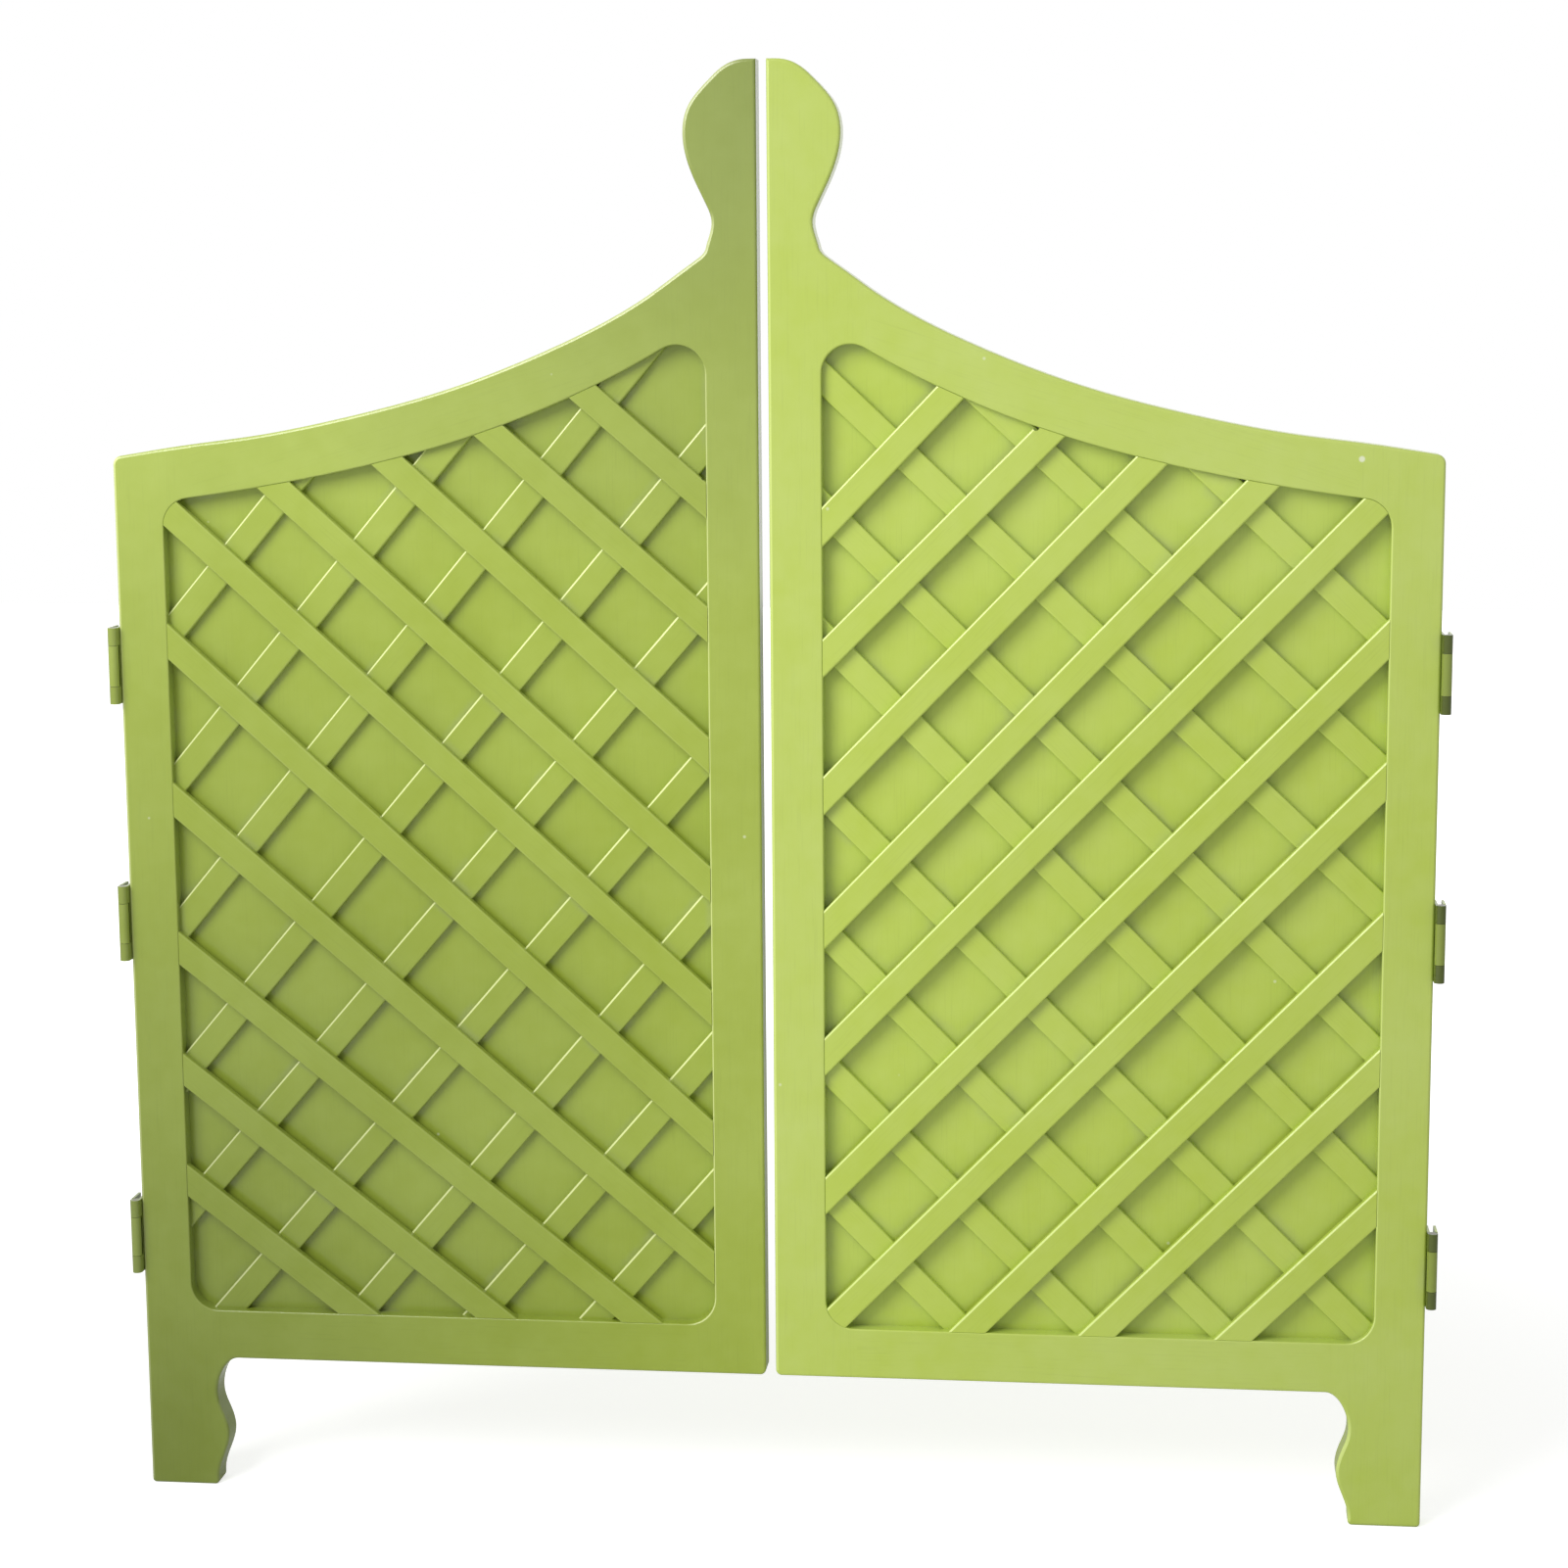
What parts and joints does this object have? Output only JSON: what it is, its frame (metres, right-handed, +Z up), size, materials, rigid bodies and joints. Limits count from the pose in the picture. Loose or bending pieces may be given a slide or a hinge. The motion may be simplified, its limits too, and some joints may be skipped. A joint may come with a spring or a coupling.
{
  "type": "pair of trellis saloon door leaves",
  "caption": "Painted wooden double door leaves with swept top rails, half ball finials, scrolled legs and diagonal trellis over solid panels, on butt hinges.",
  "frame": {"origin": "on the jamb side face of the lowest left hinge, midway between its two screws", "axes": "+X to the right across both leaves, +Y to the back, +Z up"},
  "size_m": [1.31, 0.04, 1.43],
  "materials": {
    "frame_paint": "satin green paint",
    "slat_paint": "satin green paint",
    "panel_paint": "satin green paint",
    "hinge_paint": "green paint over steel",
    "pin_steel": "worn steel"
  },
  "bodies": {
    "jamb_plates": {"left_low_jamb_plate": "hinge_paint", "left_low_pin": "pin_steel", "left_middle_jamb_plate": "hinge_paint", "left_middle_pin": "pin_steel", "left_high_jamb_plate": "hinge_paint", "left_high_pin": "pin_steel", "right_low_jamb_plate": "hinge_paint", "right_low_pin": "pin_steel", "right_middle_jamb_plate": "hinge_paint", "right_middle_pin": "pin_steel", "right_high_jamb_plate": "hinge_paint", "right_high_pin": "pin_steel"},
    "left_leaf": {"left_hinge_stile": "frame_paint", "left_meeting_stile": "frame_paint", "left_top_rail": "frame_paint", "left_bottom_rail": "frame_paint", "left_back_panel": "panel_paint", "left_front_slats": "slat_paint", "left_rear_slats": "slat_paint", "left_low_door_plate": "hinge_paint", "left_middle_door_plate": "hinge_paint", "left_high_door_plate": "hinge_paint"},
    "right_leaf": {"right_hinge_stile": "frame_paint", "right_meeting_stile": "frame_paint", "right_top_rail": "frame_paint", "right_bottom_rail": "frame_paint", "right_back_panel": "panel_paint", "right_front_slats": "slat_paint", "right_rear_slats": "slat_paint", "right_low_door_plate": "hinge_paint", "right_middle_door_plate": "hinge_paint", "right_high_door_plate": "hinge_paint"}
  },
  "joints": [
    {"name": "left_swing", "type": "hinge", "parent": "jamb_plates", "child": "left_leaf", "pos_m": [0.005, -0.02, 0.29], "axis": [0, 0, -1], "range_deg": [0, 110]},
    {"name": "right_swing", "type": "hinge", "parent": "jamb_plates", "child": "right_leaf", "pos_m": [1.305, -0.02, 0.29], "axis": [0, 0, 1], "range_deg": [0, 110]}
  ]
}
